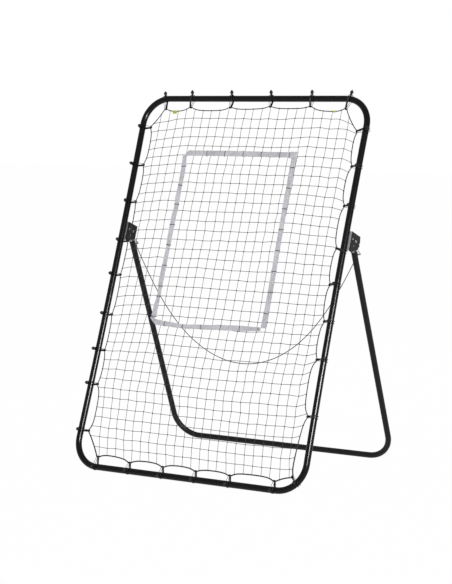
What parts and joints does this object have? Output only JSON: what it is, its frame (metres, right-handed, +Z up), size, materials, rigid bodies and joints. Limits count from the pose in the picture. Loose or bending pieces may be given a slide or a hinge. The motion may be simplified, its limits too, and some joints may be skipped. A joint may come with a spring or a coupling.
{
  "type": "soccer rebound net",
  "caption": "Leaning tube frame with a net hung on elastic ties, a webbing target and a folding rear leg that locks in rim notches.",
  "frame": {"origin": "on the floor, midway between the side tubes and midway between the front bar and the rear bar", "axes": "+Z up, +Y from the net towards the rear leg, +X to the right of someone who faces the net"},
  "size_m": [1.2264, 0.9498, 1.7244],
  "materials": {
    "powder_coat_black": "glossy black powder coat on steel",
    "zinc_plate": "bright zinc plate on steel",
    "black_rubber": "matt moulded rubber",
    "net_twine": "knotted polyester twine, dark grey",
    "border_cord_black": "braided cord, black",
    "target_webbing_grey": "flat woven webbing, light grey",
    "pull_cord_grey": "thin twisted cord, dark grey"
  },
  "bodies": {
    "frame": {"frame_top_tube": "powder_coat_black", "frame_left_tube": "powder_coat_black", "frame_right_tube": "powder_coat_black", "frame_bottom_tube": "powder_coat_black", "snap_button_lower_left": "zinc_plate", "snap_button_lower_right": "zinc_plate", "snap_button_upper_left": "zinc_plate", "snap_button_upper_right": "zinc_plate", "hinge_bracket_left": "powder_coat_black", "hinge_bracket_right": "powder_coat_black", "pivot_bolt_left": "zinc_plate", "pivot_bolt_right": "zinc_plate", "pivot_nut_left": "zinc_plate", "pivot_nut_right": "zinc_plate", "tie_top_1": "black_rubber", "tie_top_2": "black_rubber", "tie_top_3": "black_rubber", "tie_top_4": "black_rubber", "tie_top_5": "black_rubber", "tie_top_6": "black_rubber", "tie_left_1": "black_rubber", "tie_left_2": "black_rubber", "tie_left_3": "black_rubber", "tie_left_4": "black_rubber", "tie_left_5": "black_rubber", "tie_left_6": "black_rubber", "tie_left_7": "black_rubber", "tie_left_8": "black_rubber", "tie_left_9": "black_rubber", "tie_right_1": "black_rubber", "tie_right_2": "black_rubber", "tie_right_3": "black_rubber", "tie_right_4": "black_rubber", "tie_right_5": "black_rubber", "tie_right_6": "black_rubber", "tie_right_7": "black_rubber", "tie_right_8": "black_rubber", "tie_bottom_1": "black_rubber", "tie_bottom_2": "black_rubber", "tie_bottom_3": "black_rubber", "tie_bottom_4": "black_rubber", "tie_bottom_5": "black_rubber", "tie_bottom_6": "black_rubber", "tie_corner": "black_rubber", "net": "net_twine", "net_border_cord": "border_cord_black", "target_webbing": "target_webbing_grey", "pull_cord": "pull_cord_grey"},
    "rear_leg": {"leg_left_tube": "powder_coat_black", "leg_right_tube": "powder_coat_black", "leg_rear_tube": "powder_coat_black", "leg_tongue_left": "powder_coat_black", "leg_tongue_right": "powder_coat_black", "latch_spring_left": "zinc_plate", "latch_spring_right": "zinc_plate"},
    "latch_left": {"latch_left": "zinc_plate", "pull_ring_left": "zinc_plate"},
    "latch_right": {"latch_right": "zinc_plate", "pull_ring_right": "zinc_plate"}
  },
  "joints": [
    {"name": "leg_fold", "type": "hinge", "parent": "frame", "child": "rear_leg", "pos_m": [0, 0.02831, 1.05806], "axis": [-1, 0, 0], "range_deg": [0, 43.3]},
    {"name": "latch_left_slide", "type": "slide", "parent": "rear_leg", "child": "latch_left", "axis": [0, 0.3821, -0.9241], "range_m": [0, 0.0065], "stiffness_N_per_m": 400, "springref_m": -0.01, "deforming": ["latch_spring_left"]},
    {"name": "latch_right_slide", "type": "slide", "parent": "rear_leg", "child": "latch_right", "axis": [0, 0.3821, -0.9241], "range_m": [0, 0.0065], "stiffness_N_per_m": 400, "springref_m": -0.01, "deforming": ["latch_spring_right"]}
  ]
}
